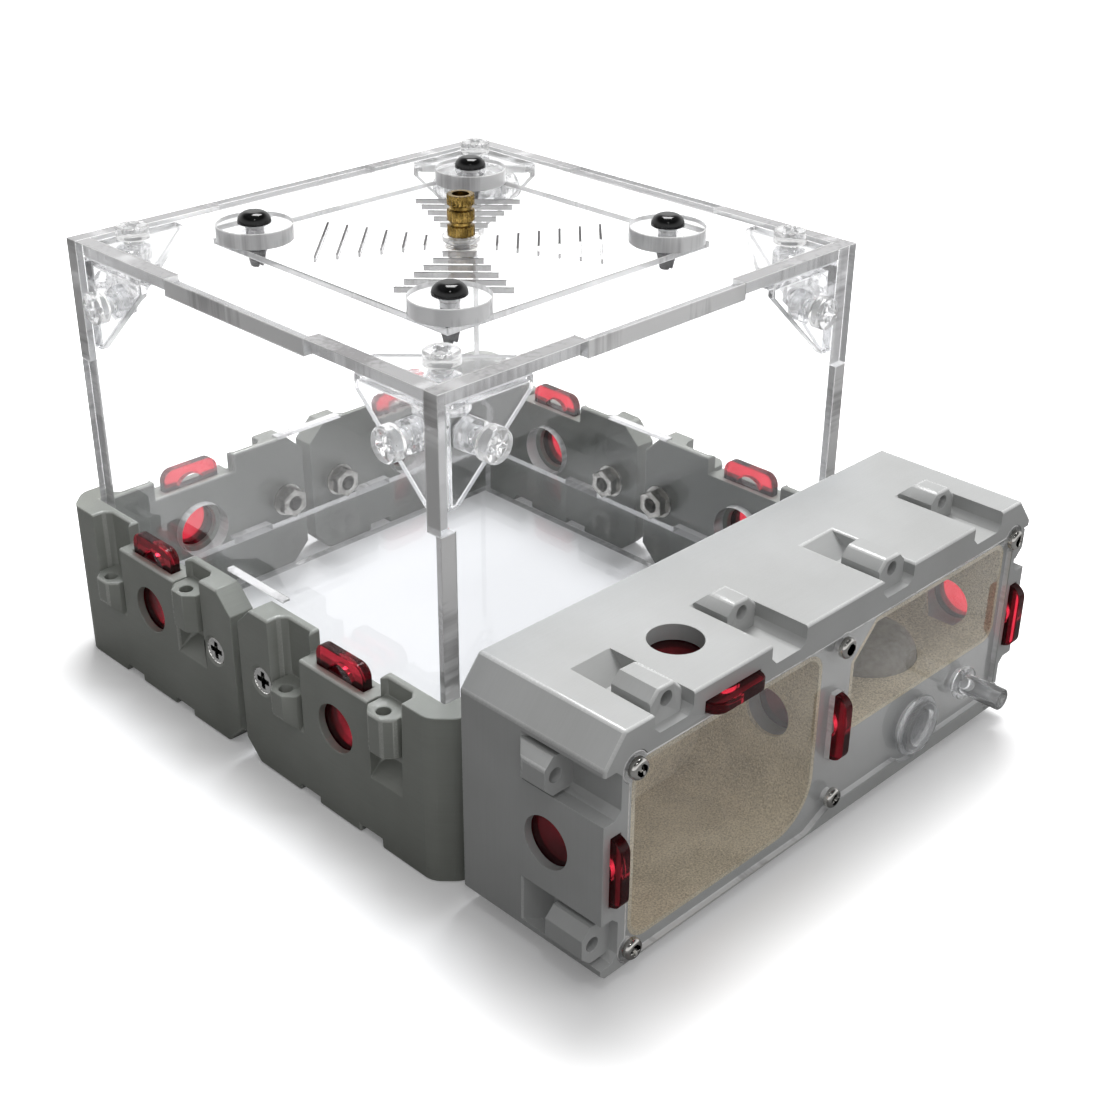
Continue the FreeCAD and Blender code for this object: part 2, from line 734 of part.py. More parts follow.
def corner_module(name, turn):
    """An L of two arms around a corner, each with a port, a gate slot and two docking lugs."""
    body = new_body(name)
    outline = [("-" + RING, "-" + RING), ("-" + SEAM, "-" + RING), ("-" + SEAM, "-" + BOX),
               ("-" + BOX, "-" + BOX), ("-" + BOX, "-" + SEAM), ("-" + RING, "-" + SEAM)]
    pad(body, "XY", "0", "module_high", [outline])
    dress("Chamfer", body, straight_edges(body, 2, [("-" + RING, "-" + RING)]), "module_corner_cut")
    end = "-" + SEAM
    cut = end + "-module_end_cut"
    corners = [[(cut, "module_high"), (end, "module_high-module_end_cut"), (end, "module_high")],
               [(cut, "0"), (end, "0"), (end, "module_end_cut")]]
    feet = [span("-port_at%sfoot_at-foot_wide/2" % s, "0", "-port_at%sfoot_at+foot_wide/2" % s, "foot_high")
            for s in ("+", "-")]
    hole = "screw_round/2+screw_play"
    holes = [("-port_at", "port_high", "port_round/2"), ("-module_screw_at", "port_high", hole)]
    for plane in ("XZ", "YZ"):
        pocket(body, plane, "-" + RING, "module_thick", corners + feet, holes)
    lower = [[arm(s, d) for s, d in rect("-port_at", BOX + "+module_thick/2", "ledge_wide", "module_thick")]
             for arm in (front_arm, left_arm)]
    pocket(body, "XY", "ledge_high", "module_high-ledge_high", lower)
    middle = "(%s-%s)" % (RING, GATE_MIDDLE)
    slots = [[arm(s, d) for s, d in gate_slot("-port_at", middle, "gate_wide", "gate_thick")]
             for arm in (front_arm, left_arm)]
    pocket(body, "XY", "port_high-gate_below", "module_high-port_high+gate_below", slots)

    def height(low, high):
        return low, ("module_high-%s" % low if high is None else "%s-%s" % (high, low))

    upper = [("(-port_at+lug_at)", RING, front_arm), ("(-port_at-lug_at)", RING, left_arm)]
    under = [("(-port_at-lug_at)", RING, front_arm), ("(-port_at+lug_at)", RING, left_arm)]
    lugs(body, "XY", height, upper, under)
    edges = rims(body, 1, "-" + RING, hole) + rims(body, 0, "-" + RING, hole)
    dress("Chamfer", body, edges, "flat_head_round/2+flat_head_sunk-(%s)" % hole)
    place(body, "0", BOX_Y, "0", quarter(turn))
    node(body, name)


# ---------------------------------------------------------------- gates
def half_moon(drawing, x, y, wide, high):
    """A finger cut: a level chord with a shallow arc above it."""
    radius = "((%s)^2/4+(%s)^2)/(2*(%s))" % (wide, high, high)
    r = number(radius)
    half = number(wide) / 2
    middle = V(number(x), number(y) + number(high) - r, 0)
    tilt = math.atan2(number(y) - middle.y, half)
    bow = drawing.addGeometry(Part.ArcOfCircle(Part.Circle(middle, V(0, 0, 1), r), tilt, math.pi - tilt))
    ends = [V(middle.x + side, number(y), 0) for side in (-half, half)]
    chord = drawing.addGeometry(Part.LineSegment(*ends))
    drawing.addConstraint(Sketcher.Constraint("Coincident", bow, 2, chord, 1))
    drawing.addConstraint(Sketcher.Constraint("Coincident", bow, 1, chord, 2))
    drawing.addConstraint(Sketcher.Constraint("Horizontal", chord))
    pin(drawing, "DistanceX", bow, 3, x)
    pin(drawing, "DistanceY", bow, 3, "%s+%s-%s" % (y, high, radius))
    pin(drawing, "Radius", bow, radius)
    pin(drawing, "DistanceY", chord, 1, y)


def gate(name, x, y, z, rotation):
    """A sliding plate, drawn about the middle of its port with its free end up.

    Every port takes the same gate: two rounded corners and a half-moon finger cut at the free end.
    """
    body = new_body(name)
    low = "-(gate_below-gate_play)"
    outline = span("-gate_wide/2", low, "gate_wide/2", "gate_rise")
    pad(body, "XZ", "-gate_thick/2", "gate_thick", [outline])
    free_corners = [(s + "gate_wide/2", "gate_rise") for s in ("", "-")]
    dress("Fillet", body, straight_edges(body, 1, free_corners), "gate_curve")
    drawing = sketch(body, "XZ", "-gate_thick/2")
    half_moon(drawing, "0", "ledge_high-port_high", "grip_wide", "grip_high")
    cut = body.newObject("PartDesign::Pocket", "Pocket")
    cut.Profile = drawing
    bind(cut, "Length", "gate_thick")
    cut.Reversed = False
    place(body, x, y, z, rotation)
    node(body, name)


def box_gates():
    """Two gates on each side of the box, named by the side and by the corner that they are near."""
    sides = ("front", "right", "back", "left")
    out = "-(%s-%s)" % (RING, GATE_MIDDLE)
    for turn, side in enumerate(sides):
        for near, offset in ((sides[turn - 1], "-port_at"), (sides[(turn + 1) % 4], "port_at")):
            x, y = turned(turn, offset, out)
            gate("gate_%s_%s" % (side, near), x, "%s+%s" % (BOX_Y, y), "port_high", quarter(turn))


def nest_gates():
    """Four gates that slide out of the nest's front: three upright and one flat under its top."""
    upright = FreeCAD.Rotation(V(0, 0, -1), V(1, 0, 0), V(0, -1, 0), "ZXY")
    flat = FreeCAD.Rotation(V(1, 0, 0), 90)
    y = "%s+%s" % (NEST_Y, NEST_PORT)
    for name, at in (("left", LEFT_GATE), ("middle", MIDDLE_GATE), ("right", RIGHT_GATE)):
        gate("nest_gate_" + name, "%s+%s" % (NEST_X, at), y, "side_port_level", upright)
    gate("nest_gate_top", NEST_X + "+top_port_at", y, TOP_GATE, flat)


# ---------------------------------------------------------------- nest
def left_chamber():
    """Outline of the left chamber, and its corners with their radii."""
    small = [("left_from", "left_floor"), ("left_from", "chamber_top"), ("left_to", "chamber_top")]
    rounds = [(small, "left_curve"), ([("left_to", "left_floor")], "left_big_curve")]
    return span("left_from", "left_floor", "left_to", "chamber_top"), rounds


def right_chamber():
    """Outline of the right chamber, whose upper corner by the divider is cut at a slant."""
    outline = [("right_from", "right_floor"), ("right_to", "right_floor"), ("right_to", "chamber_top"),
               ("right_from+right_slope", "chamber_top"), ("right_from", "chamber_top-right_slope")]
    return outline, [(outline[:3], "right_curve")]


def round_corners(body, rounds):
    for spots, radius in rounds:
        dress("Fillet", body, straight_edges(body, 1, spots), radius)


def shell(body, axis, level, thick):
    """Hollow the body to a shell that stays open at its flat face at a level on the axis."""
    doc.recompute()
    faces = ["Face%d" % index for index, face in enumerate(body.Shape.Faces, 1)
             if abs(face.BoundBox.Center[axis] - number(level)) < 0.001]
    base = body.Tip
    item = body.newObject("PartDesign::Thickness", "Thickness")
    item.Base = (base, faces)
    item.Reversed = True
    bind(item, "Value", thick)
    return item


def cover_outline(grow):
    """The window cover steps up along its lower edge right of the left chamber."""
    left, right, top = "cover_left-" + grow, "cover_right+" + grow, "cover_top+" + grow
    low, step = "cover_low-" + grow, "cover_step-" + grow
    return [(left, low), ("cover_step_from", low), ("cover_step_to", step),
            (right, step), (right, top), (left, top)]


def cover_screw_spots():
    spots = [("divider_at", "ear_middle_top"), ("divider_at", "ear_middle_low")]
    for at in ("ear_at_left", "(nest_long-ear_at_right)"):
        spots += [(at, "ear_top"), (at, "ear_low")]
    return spots


def cover_bosses(grow):
    """Round ears about the six screws and a round bay about the water plug."""
    ears = [(x, z, "ear_round/2+" + grow) for x, z in cover_screw_spots()]
    return ears + [("plug_at", "plug_level", "plug_boss_round/2+" + grow)]


def water_bores():
    """The plug's and the filling tube's holes, through the cover and the store's front wall."""
    return [("plug_at", "plug_level", "plug_round/2+plug_play"),
            ("tube_at", "tube_level", "tube_round/2+thread_gap")]


def nest_lugs(body):
    """Docking lugs on both ends and twice along the top; every gate slides out of the front."""
    def left_face(s, d):
        return ("-(%s)" % d, s)

    def right_face(s, d):
        return (d, s)

    def top_face(s, d):
        return (s, d)

    def height(low, high):
        if high is None:
            return "0", "nest_deep-%s" % low
        return "nest_deep-%s" % high, "%s-%s" % (high, low)

    level, top, long = "side_port_level", "nest_high", "nest_long"
    upper = [("(%s-lug_at)" % level, "0", left_face), ("(%s+lug_at)" % level, long, right_face)]
    lower = [("(%s+lug_at)" % level, "0", left_face), ("(%s-lug_at)" % level, long, right_face)]
    for at in ("top_port_at", "top_lugs_again"):
        upper.append(("(%s-lug_at)" % at, top, top_face))
        lower.append(("(%s+lug_at)" % at, top, top_face))
    lugs(body, "XZ", height, upper, lower)


def nest_housing():
    """The printed nest body: two chambers open to the front, a water store, ports and gate slots."""
    body = new_body("nest_housing")
    outline = [("foot_cut_in", "0"), ("nest_long-foot_cut_in", "0"), ("nest_long", "foot_cut_up"),
               ("nest_long", "nest_high-top_cut_down"), ("nest_long-top_cut_in", "nest_high"),
               ("top_cut_in", "nest_high"), ("0", "nest_high-top_cut_down"), ("0", "foot_cut_up")]
    pad(body, "XZ", "0", "nest_deep", [outline])
    pocket(body, "YZ", "0", "nest_long", [[("0", "0"), ("front_cut_in", "0"), ("0", "front_cut_up")]])
    pocket(body, "XZ", "0", "cover_thick", [cover_outline("cover_play")])
    pocket(body, "XZ", "0", "cover_thick", circles=cover_bosses("cover_play"))
    for chamber in (left_chamber, right_chamber):
        outline, rounds = chamber()
        pocket(body, "XZ", "cover_thick", "chamber_deep-cover_thick", [outline])
        round_corners(body, rounds)
    slot_end = NEST_PORT + "+gate_below"
    upright = (LEFT_GATE, MIDDLE_GATE, RIGHT_GATE)
    slots = [gate_slot(at, "side_port_level", "gate_thick", "gate_wide") for at in upright]
    slots.append(gate_slot("top_port_at", TOP_GATE, "gate_wide", "gate_thick"))
    pocket(body, "XZ", "0", slot_end, slots)
    port = (NEST_PORT, "side_port_level", "port_round/2")
    runs = (("0", "left_from"), ("left_to", "(right_from+right_curve)"),
            ("(right_to-right_curve)", "nest_long"))
    for start, end in runs:
        pocket(body, "YZ", start, "%s-%s" % (end, start), circles=[port])
    port = ("top_port_at", NEST_PORT, "port_round/2")
    pocket(body, "XY", "chamber_top", "nest_high-chamber_top", circles=[port])
    nest_lugs(body)
    store = span("store_from", "store_low", "store_to", "store_top")
    pocket(body, "XZ", "store_wall", "chamber_deep-store_wall", [store])
    pocket(body, "XZ", "0", "store_wall", circles=water_bores())
    pocket(body, "XY", "store_top", "right_floor-store_top",
           circles=[("wick_at", "wick_back", "stem_round/2+thread_gap")])
    pocket(body, "XZ", "0", "small_screw_long", circles=[(x, z, "small_screw_round/2+thread_gap")
                                                         for x, z in cover_screw_spots()])
    place(body, NEST_X, NEST_Y, "0")
    node(body, "nest_housing")


def nest_cover():
    """The clear window over both chambers, let flush into the front."""
    body = new_body("nest_cover")
    pad(body, "XZ", "0", "cover_thick", [cover_outline("0")])
    pad(body, "XZ", "0", "cover_thick", circles=cover_bosses("0"))
    holes = [(x, z, "small_screw_round/2+screw_play") for x, z in cover_screw_spots()]
    slot = gate_slot(MIDDLE_GATE, "side_port_level", "gate_thick", "gate_wide")
    pocket(body, "XZ", "0", "cover_thick", [slot], holes + water_bores())
    place(body, NEST_X, NEST_Y, "0")
    node(body, "nest_cover")


def cover_screws():
    head = ("small_head_round/2", "small_head_high")
    screw = pan_screw("cover_screw", "small_screw_round/2", "small_screw_long", *head)
    cross_recess(screw, "-small_head_high", "small_cross_wide", "small_cross_long", "small_cross_deep")
    places = [("%s+%s" % (NEST_X, x), NEST_Y, z, INWARD) for x, z in cover_screw_spots()]
    group("cover_screws", screw, places)


def chamber_liner(name, chamber, passages, extra):
    """A sand-faced shell inside a chamber, open to the window and at each passage."""
    body = new_body(name)
    outline, rounds = chamber()
    pad(body, "XZ", "cover_thick", "chamber_deep-cover_thick", [outline])
    round_corners(body, rounds)
    shell(body, 1, "cover_thick", "liner")
    for start, length in passages:
        pocket(body, "YZ", start, length, circles=[(NEST_PORT, "side_port_level", "port_round/2")])
    level, length, hole = extra
    pocket(body, "XY", level, length, circles=[hole])
    place(body, NEST_X, NEST_Y, "0")
    node(body, name)


def chamber_liners():
    top_port = ("chamber_top-liner", "liner", ("top_port_at", NEST_PORT, "port_round/2"))
    passages = (("left_from", "liner"), ("left_to-liner", "liner"))
    chamber_liner("liner_left", left_chamber, passages, top_port)
    wick_hole = ("right_floor", "liner", ("wick_at", "wick_back", "wick_round/2+cover_play"))
    passages = (("right_from", "right_curve"), ("right_to-right_curve", "right_curve"))
    chamber_liner("liner_right", right_chamber, passages, wick_hole)


# ---------------------------------------------------------------- water
def water_wick():
    """A smooth porous dome on the right chamber's floor, with a stem into the water store."""
    body = new_body("water_wick")
    foot = "-(right_floor-store_top+stem_dip)"
    revolve(body, [("0", foot), ("stem_round/2", foot), ("stem_round/2", "0"), ("wick_round/2", "0"),
                   ("wick_round/2", "wick_high"), ("0", "wick_high")])
    dress("Fillet", body, rims(body, 2, "wick_high", "wick_round/2"), "wick_curve")
    place(body, NEST_X + "+wick_at", NEST_Y + "+wick_back", "right_floor")
    node(body, "water_wick")


def water_plug():
    """The filling plug: a dished rim outside and a stem through the cover and the front wall."""
    body = new_body("water_plug")
    seat, face = "-seal_thick", "-(seal_thick+plug_rim_thick)"
    dish = face + "+plug_dish_deep"
    revolve(body, [("0", dish), ("plug_dish_round/2", dish), ("plug_dish_round/2", face),
                   ("plug_rim_round/2", face), ("plug_rim_round/2", seat), ("plug_round/2", seat),
                   ("plug_round/2", "plug_long"), ("0", "plug_long")])
    place(body, NEST_X + "+plug_at", NEST_Y, "plug_level", INWARD)
    node(body, "water_plug")


def plug_seal():
    body = flat_ring("plug_seal", "seal_round/2", "plug_round/2+thread_gap", "seal_thick")
    place(body, NEST_X + "+plug_at", NEST_Y + "-seal_thick", "plug_level", INWARD)
    node(body, "plug_seal")


def water_tube():
    """A clear filling spout with a collar against the cover."""
    body = new_body("water_tube")
    bore, outer, collar = "tube_bore/2", "tube_round/2", "collar_round/2"
    revolve(body, [(bore, "-tube_out"), (outer, "-tube_out"), (outer, "-collar_long"),
                   (collar, "-collar_long"), (collar, "0"), (outer, "0"),
                   (outer, "store_wall"), (bore, "store_wall")])
    place(body, NEST_X + "+tube_at", NEST_Y, "tube_level", INWARD)
    node(body, "water_tube")


# ---------------------------------------------------------------- assembly
CORNERS = ("front_left", "front_right", "back_right", "back_left")
for turn, side in ((0, "front"), (2, "back")):
    wall("wall_" + side, "XZ", turn, BOX, INNER)
for turn, side in ((0, "left"), (2, "right")):
    wall("wall_" + side, "YZ", turn, INNER, BOX)
floor_plate()
lid_frame()
for turn, corner in enumerate(CORNERS):
    corner_bracket("bracket_" + corner, turn)
    corner_module("module_" + corner, turn)
    lid_disc("lid_disc_" + corner, turn)
bracket_fasteners()
module_fasteners()
lid_panel()
lid_rivets()
lift_knob()
knob_washer()
knob_screw()
box_gates()
nest_housing()
nest_cover()
cover_screws()
chamber_liners()
nest_gates()
water_wick()
water_plug()
plug_seal()
water_tube()

doc.recompute()
for item in doc.Objects:
    if "Invalid" in item.State or "Error" in item.State:
        raise SystemExit("%s does not compute" % item.Name)
for item in nodes:
    if item.Shape.isNull() or not item.Shape.isValid():
        raise SystemExit("%s has no valid shape" % item.Label)
    item.Shape.exportStep("parts/%s.step" % item.Label)
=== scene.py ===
import bmesh
import bpy
import math
from mathutils import Matrix, Vector


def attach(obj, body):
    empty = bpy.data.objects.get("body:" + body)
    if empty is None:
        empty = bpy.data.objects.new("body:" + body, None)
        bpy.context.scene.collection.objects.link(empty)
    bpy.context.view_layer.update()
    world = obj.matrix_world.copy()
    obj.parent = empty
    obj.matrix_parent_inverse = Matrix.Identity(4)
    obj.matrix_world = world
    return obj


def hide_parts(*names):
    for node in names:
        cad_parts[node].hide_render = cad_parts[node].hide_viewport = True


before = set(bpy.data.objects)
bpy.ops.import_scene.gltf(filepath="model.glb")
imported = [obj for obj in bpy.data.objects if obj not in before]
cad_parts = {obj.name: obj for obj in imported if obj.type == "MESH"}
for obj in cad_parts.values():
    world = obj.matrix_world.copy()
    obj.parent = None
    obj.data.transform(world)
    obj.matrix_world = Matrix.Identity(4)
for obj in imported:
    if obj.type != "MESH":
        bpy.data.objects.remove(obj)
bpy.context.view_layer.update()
scene = bpy.context.scene
scene.view_settings.view_transform = "Standard"


# ---- Camera
# A plain 56 mm view from in front of the box's near corner. It looks down on the set and leans
# a little to one side.
eye = (-0.1963, -0.1991, 0.1791)
heading, drop, lean = math.radians(45.0), math.radians(28.25), math.radians(0.39)
forward = Vector((math.cos(drop) * math.cos(heading), math.cos(drop) * math.sin(heading), -math.sin(drop)))
level_side = Vector((math.sin(heading), -math.cos(heading), 0))
level_top = level_side.cross(forward)
view_side = math.cos(lean) * level_side + math.sin(lean) * level_top
view_top = math.cos(lean) * level_top - math.sin(lean) * level_side
lens = bpy.data.cameras.new("camera")
lens.lens, lens.sensor_width, lens.clip_start = 55.63, 36, 0.01
camera = bpy.data.objects.new("camera", lens)
camera.matrix_world = (Matrix.Translation(eye)
                       @ Matrix((view_side, view_top, -forward)).transposed().to_4x4())
scene.collection.objects.link(camera)
scene.camera = camera


# ---- Walls and raised floor of the foraging box
# Clear cast acrylic, 3 mm thick and laser cut, held by finger joints in the corners. The faces are
# polished and almost unseen; the cut edges are greyer, with fine marks of the beam.
def new_finish(name):
    """Make a material; give it and its main shader."""
    finish = bpy.data.materials.new(name)
    finish.use_nodes = True
    return finish, finish.node_tree.nodes["Principled BSDF"]


def add(finish, kind, values=(), **settings):
    """Add a node, with its input values and its settings."""
    node = finish.node_tree.nodes.new("ShaderNode" + kind)
    for name, value in settings.items():
        setattr(node, name, value)
    for name, value in dict(values).items():
        node.inputs[name].default_value = value
    return node


def join(finish, out, into):
    finish.node_tree.links.new(out, into)


def grain(finish, scale, stretch=(1, 1, 1), detail=3, rough=0.5):
    """Cloudy noise in the piece's own place, stretched along some axes; scale is in cells per metre."""
    place = add(finish, "TexCoord")
    turn = add(finish, "Mapping", {"Scale": stretch})
    noise = add(finish, "TexNoise", {"Scale": scale, "Detail": detail, "Roughness": rough})
    join(finish, place.outputs["Object"], turn.inputs["Vector"])
    join(finish, turn.outputs[0], noise.inputs["Vector"])
    return noise.outputs[0]


def between(finish, amount, low, high, start=0.35, stop=0.65):
    """Spread an amount from start to stop over the numbers low to high."""
    spread = add(finish, "MapRange", {"From Min": start, "From Max": stop, "To Min": low, "To Max": high})
    join(finish, amount, spread.inputs["Value"])
    return spread.outputs[0]


def shade(finish, amount, dark, pale, into, start=0.35, stop=0.65):
    """Lead an amount through two colours into a socket."""
    ramp = add(finish, "ValToRGB")
    for stop_at, end, colour in zip((start, stop), ramp.color_ramp.elements, (dark, pale)):
        end.position, end.color = stop_at, (*colour, 1)
    join(finish, amount, ramp.inputs[0])
    join(finish, ramp.outputs[0], into)


def relief(finish, principled, amount, strength, distance):
    """Raise the surface by an amount; distance is in metres."""
    bump = add(finish, "Bump", {"Strength": strength, "Distance": distance})
    join(finish, amount, bump.inputs["Height"])
    join(finish, bump.outputs[0], principled.inputs["Normal"])


def weigh(finish, amount, share, other):
    """Give the first amount times its share, plus the other amount."""
    tone = add(finish, "Math", {1: share}, operation="MULTIPLY_ADD")
    join(finish, amount, tone.inputs[0])
    join(finish, other, tone.inputs[2])
    return tone.outputs[0]


def lets_lamps_through(finish, principled, tint):
    """Clear plastic throws hardly any shadow: light on its way to a matt surface passes straight through."""
    path, either = add(finish, "LightPath"), add(finish, "Math", operation="MAXIMUM")
    open_air = add(finish, "BsdfTransparent", {"Color": (*tint, 1)})
    mix = add(finish, "MixShader")
    join(finish, path.outputs["Is Shadow Ray"], either.inputs[0])
    join(finish, path.outputs["Is Diffuse Ray"], either.inputs[1])
    join(finish, either.outputs[0], mix.inputs[0])
    join(finish, principled.outputs[0], mix.inputs[1])
    join(finish, open_air.outputs[0], mix.inputs[2])
    join(finish, mix.outputs[0], finish.node_tree.nodes["Material Output"].inputs["Surface"])


def set_values(principled, values):
    for name, value in values.items():
        principled.inputs[name].default_value = value


def clear_plastic(name, colour, haze, ior=1.4, wave=0.0, clear=1.0):
    """Clear plastic with faint wipe marks; haze is its roughness, wave the unevenness of a moulded face."""
    finish, principled = new_finish(name)
    set_values(principled, {"Base Color": (*colour, 1), "IOR": ior, "Transmission Weight": clear})
    wipe = grain(finish, 60, (1, 1.6, 0.7), 4)
    join(finish, between(finish, wipe, haze * 0.6, haze * 1.5), principled.inputs["Roughness"])
    if wave:
        relief(finish, principled, grain(finish, 900, detail=1), 0.5, wave)
    lets_lamps_through(finish, principled, (0.95, 0.955, 0.96))
    return finish


def cut_edge(name, through, dark=(0.6, 0.59, 0.595), pale=(0.99, 0.985, 0.985), clear=0.25):
    """The cut edge of a sheet: milky, with greyer marks that run along the sheet's thickness."""
    finish, principled = new_finish(name)
    set_values(principled, {"IOR": 1.45, "Transmission Weight": clear})
    stretch = [1, 1, 1]
    stretch[through] = 0.04
    marks = grain(finish, 900, stretch, 4)
    smoke = grain(finish, 60, detail=2)
    shade(finish, weigh(finish, marks, 0.4, smoke), dark, pale, principled.inputs["Base Color"], 0.54, 0.68)
    join(finish, between(finish, marks, 0.06, 0.26), principled.inputs["Roughness"])
    relief(finish, principled, marks, 0.3, 0.00005)
    lets_lamps_through(finish, principled, (0.93, 0.93, 0.94))
    return finish


def bevel(shape, edges, size, steps, clamp=True):
    """Bevel edges and give the new faces."""
    made = bmesh.ops.bevel(shape, geom=edges, affect="EDGES", offset_type="OFFSET", offset=size,
                           segments=steps, profile=0.5, material=-1, clamp_overlap=clamp)
    return made["faces"]


def has_room(edge, room):
    """Tell whether an edge meets just two others at each end, all of them longer than room."""
    return all(len(end.link_edges) == 3 and near.calc_length() > room
               for end in edge.verts for near in end.link_edges)


sharp_from = math.radians(35)


def round_over(shape, size, steps, room=0.0, where=None):
    """Round the sharp edges that lie where; with room, only those that have it, in the second finish, which
    paints a highlight along them.
    """
    sharp = [e for e in shape.edges if len(e.link_faces) == 2 and e.calc_face_angle(0) > sharp_from]
    if room:
        sharp = [e for e in sharp if has_room(e, room)]
    if where:
        sharp = [e for e in sharp if all(where(end.co) for end in e.verts)]
    rounded = bevel(shape, sharp, size, steps, bool(room))
    if room:
        for face in rounded:
            face.material_index = 1


# Points nearer than merge_within are one point, and faces that meet flatter than flat_within are one
# face. A face is broad that has more area than broad_share times its outline, and it looks along an
# axis with more than square_on of its normal.
merge_within, flat_within, smooth_within = 0.000002, math.radians(0.5), math.radians(30)
broad_share, square_on = 0.0008, 0.9


def eased_copy(node, name, body, ease, finishes, through=None, apart=0.0, broad=0.0, prepare=None,
               where=None):
    """Copy a drawn part, ease its sharp edges and stand the copy in for it.

    prepare shapes the copy and broad rounds its long edges first, those that lie where. With through,
    the axis of a sheet's thickness, its cut edges take the second finish. apart draws the faces in, so
    that clear pieces never touch. Broad flat faces are shaded flat.
    """
    shape = bmesh.new()
    shape.from_mesh(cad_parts[node].data)
    bmesh.ops.remove_doubles(shape, verts=shape.verts, dist=merge_within)
    bmesh.ops.dissolve_limit(shape, angle_limit=flat_within, verts=shape.verts, edges=shape.edges)
    if prepare:
        prepare(shape)
    if broad:
        round_over(shape, broad, 3, broad * 2.4, where)
    round_over(shape, ease, 1)
    shape.normal_update()
    if apart:
        moves = [(vertex, vertex.normal * apart * vertex.calc_shell_factor()) for vertex in shape.verts]
        for vertex, move in moves:
            vertex.co -= move
    mesh = bpy.data.meshes.new(name)
    shape.to_mesh(mesh)
    shape.free()
    mesh.shade_smooth()
    mesh.set_sharp_from_angle(angle=smooth_within)
    for face in mesh.polygons:
        rim = sum((mesh.vertices[one].co - mesh.vertices[other].co).length for one, other in face.edge_keys)
        if face.area > broad_share * rim:
            face.use_smooth = False
    if through is not None:
        for face in mesh.polygons:
            face.use_smooth = face.material_index = abs(face.normal[through]) < square_on
    piece = bpy.data.objects.new(name, mesh)
    scene.collection.objects.link(piece)
    for finish in finishes:
        mesh.materials.append(finish)
    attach(piece, body)
    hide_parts(node)
    return piece


sheet_ease, wall_ease, sheet_apart = 0.00015, 0.0001, 0.00002
sheet_face = clear_plastic("sheet_face", (0.985, 0.985, 0.99), haze=0.012)
edges_of = [cut_edge("sheet_edge_" + "xyz"[axis], axis) for axis in range(3)]
# The up-facing cut edges at the walls' tops take a darker copy of the cut edge: painted shade.
edge_up_painted_shade = cut_edge("sheet_edge_up", 2, (0.38, 0.37, 0.375), (0.6, 0.595, 0.6), clear=0.4)
vent_level, vent_half, wall_top_above = 0.0328, 0.00045, 0.08
# Two measures that differ by less than this are the same.
same_within = 0.00002


def narrow_vents(shape):
    """Draw the two long sides of each wall's air slit together, to half of their distance."""
    for vertex in shape.verts:
        if abs(abs(vertex.co.z - vent_level) - vent_half) < same_within:
            vertex.co.z = vent_level + (vertex.co.z - vent_level) * 0.5


for side, axis in (("front", 1), ("back", 1), ("left", 0), ("right", 0)):
    wall = eased_copy("wall_" + side, side + "_wall_sheet", "box", wall_ease,
                      (sheet_face, edges_of[axis], edge_up_painted_shade), axis, sheet_apart, prepare=narrow_vents)
    # Cut edges that face up at the wall tops take the darker copy, a painted shade.
    for face in wall.data.polygons:
        if face.normal.z > square_on and face.center.z > wall_top_above:
            face.material_index = 2
# A paler copy of the cut edge, for the raised floor's edges and the brackets' slanted faces: painted light.
bright_edge_painted_light = cut_edge("bright_edge_painted_light", 2, (0.8, 0.8, 0.81), (0.99, 0.99, 0.99), clear=0.35)
floor_sheet = eased_copy("floor_plate", "raised_floor_sheet", "box", sheet_ease,
                         (sheet_face, bright_edge_painted_light), 2, sheet_apart)


# ---- Corner modules
# Dark grey printed plastic. Each L clasps a lower corner of the box and carries two ports with
# their gate slots and docking lugs; it is printed standing, so its layers lie flat.
def printed(name, dark, pale, across, matt=0.4):
    """Printed plastic: fine layer lines that stack along one axis, and slight clouds of tone."""
    finish, principled = new_finish(name)
    stretch = [0.02, 0.02, 0.02]
    stretch[across] = 1
    layers = grain(finish, 4200, stretch, 2)
    cloud = grain(finish, 45, detail=4)
    speck = grain(finish, 3800, detail=1)
    shade(finish, weigh(finish, layers, 0.2, cloud), dark, pale, principled.inputs["Base Color"], 0.45, 0.8)
    join(finish, between(finish, speck, matt - 0.08, matt + 0.1), principled.inputs["Roughness"])
    relief(finish, principled, layers, 0.35, 0.00004)
    return finish


# How far a lug stands out of its face, and how far its recess goes in, each with a small margin.
lug_high, recess_deep = 0.0023, 0.0037


def slope_ends(shape, end, along, outward):
    """Slope the end of each lug and of each recess at 45 degrees, as they are printed.

    end is where they end along an axis; outward tells how far a point stands out of its face.
    """
    for vertex in shape.verts:
        out = outward(vertex.co)
        if abs(vertex.co[along] - end) < same_within and -recess_deep < out < lug_high:
            vertex.co[along] += abs(out) * (1 if along == 2 else -1)


module_print = printed("module_print", (0.275, 0.285, 0.26), (0.34, 0.352, 0.325), 2)
# The rounded edge strips take a paler, glossier copy of the print: the paler colour is a painted highlight
# along the edges, and the lower roughness is the glossier outer lines of the print.
module_edge_painted_highlight = printed("module_edge_painted_highlight", (0.38, 0.39, 0.36), (0.5, 0.51, 0.48), 2, matt=0.25)
print_ease, print_round = 0.00012, 0.00045
box_middle, module_face, module_lug_end = 0.02015, 0.055, 0.0132
facet_size, facet_longer, facet_within = 0.0014, 0.02, 0.0045


def out_of_module(place):
    """Tell how far a point stands out of the modules' outer faces."""
    return max(abs(place.x), abs(place.y - box_middle)) - module_face


def shape_module(shape):
    """Slope the ends of a module's lugs and soften its outer corner with a facet."""
    slope_ends(shape, module_lug_end, 2, out_of_module)
    corner = 2 * module_face - facet_within
    facet = [e for e in shape.edges if e.calc_length() > facet_longer
             and all(abs(end.co.x) + abs(end.co.y - box_middle) > corner for end in e.verts)]
    bevel(shape, facet, facet_size, 4)


corners = ("front_left", "front_right", "back_right", "back_left")
for corner in corners:
    module = eased_copy("module_" + corner, corner + "_module_print", "box", print_ease,
                        (module_print, module_edge_painted_highlight), broad=print_round, prepare=shape_module)
